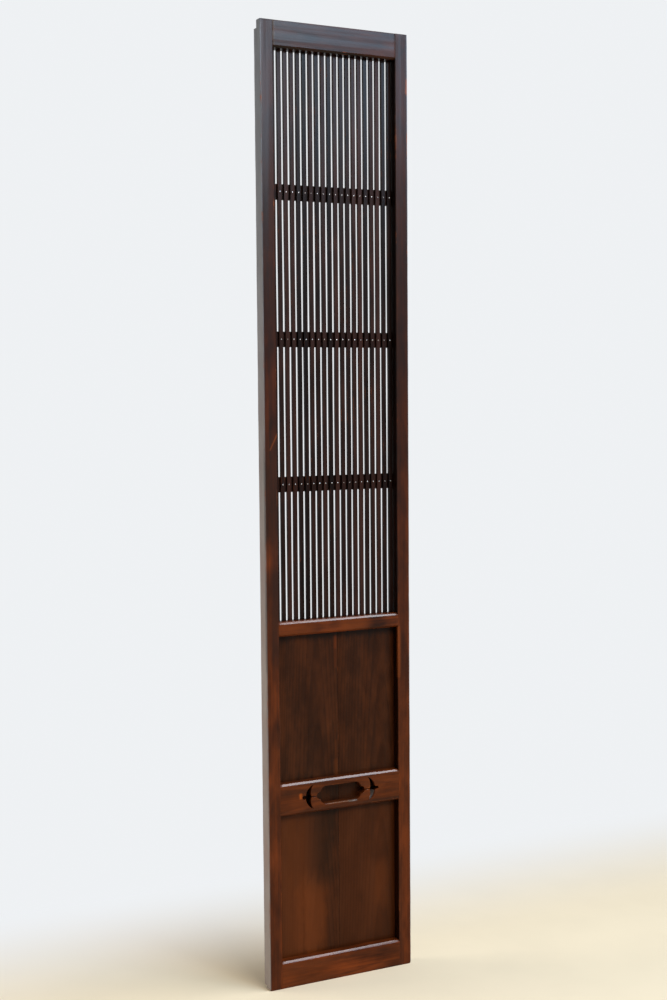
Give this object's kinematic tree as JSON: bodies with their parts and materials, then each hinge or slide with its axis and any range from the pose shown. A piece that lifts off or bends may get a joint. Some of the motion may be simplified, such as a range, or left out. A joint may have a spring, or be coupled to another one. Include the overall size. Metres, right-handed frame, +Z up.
{
  "type": "lattice door",
  "caption": "Tall narrow sliding lattice door leaf: dark wooden stiles and rails, upright bars nailed to ties above, a boarded panel behind an openwork rail below.",
  "frame": {"origin": "under the middle of the leaf, at the level of its foot", "axes": "+X across the width to the right as seen from the front, +Y from the front to the back, +Z up along the stiles"},
  "size_m": [0.338, 0.03, 2],
  "materials": {
    "frame_wood": "dark stained softwood, rubbed satin finish, worn to orange at the edges",
    "lattice_wood": "dark stained softwood, rubbed satin finish",
    "panel_wood": "dark stained softwood boards with cathedral figure, satin finish",
    "nail_metal": "small steel nail heads with dulled faces"
  },
  "bodies": {
    "root": {"left_stile": "frame_wood", "right_stile": "frame_wood", "top_rail": "frame_wood", "mid_rail": "frame_wood", "carved_rail": "frame_wood", "bottom_rail": "frame_wood", "left_panel_board": "panel_wood", "right_panel_board": "panel_wood", "upper_tie": "lattice_wood", "middle_tie": "lattice_wood", "lower_tie": "lattice_wood", "upper_tie_nails": "nail_metal", "middle_tie_nails": "nail_metal", "lower_tie_nails": "nail_metal", "lattice_bar_01": "lattice_wood", "lattice_bar_02": "lattice_wood", "lattice_bar_03": "lattice_wood", "lattice_bar_04": "lattice_wood", "lattice_bar_05": "lattice_wood", "lattice_bar_06": "lattice_wood", "lattice_bar_07": "lattice_wood", "lattice_bar_08": "lattice_wood", "lattice_bar_09": "lattice_wood", "lattice_bar_10": "lattice_wood", "lattice_bar_11": "lattice_wood", "lattice_bar_12": "lattice_wood", "lattice_bar_13": "lattice_wood", "lattice_bar_14": "lattice_wood", "lattice_bar_15": "lattice_wood", "lattice_bar_16": "lattice_wood", "lattice_bar_17": "lattice_wood", "lattice_bar_18": "lattice_wood", "lattice_bar_19": "lattice_wood", "lattice_bar_20": "lattice_wood"}
  },
  "joints": []
}
